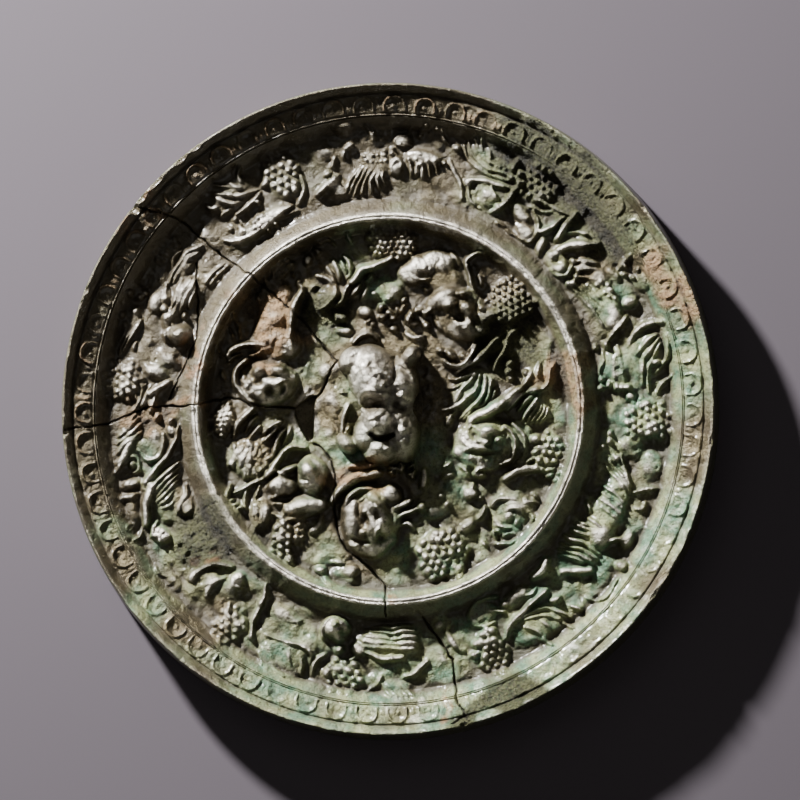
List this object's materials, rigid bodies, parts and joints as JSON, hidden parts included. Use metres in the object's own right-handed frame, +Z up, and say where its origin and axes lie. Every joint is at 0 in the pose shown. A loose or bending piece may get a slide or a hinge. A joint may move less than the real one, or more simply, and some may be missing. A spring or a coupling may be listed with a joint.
{
  "type": "animal-and-grape mirror",
  "caption": "Round cast bronze mirror, shown from its decorated back: crouching lions, birds and grape vines in high relief, a ridge ring, a scroll border and a pierced beast for a knob.",
  "frame": {"origin": "middle of the flat reflecting face, on the surface that the mirror lies on", "axes": "+Z up through the knob on the decorated back, +Y towards the top of the picture, which the knob beast's head points to, +X to its right"},
  "size_m": [0.14, 0.14, 0.0153],
  "materials": {
    "bronze": "dark cast bronze, worn bright on the high points, under a pale green and earthy patina"
  },
  "bodies": {
    "root": {"mirror": "bronze"}
  },
  "joints": []
}
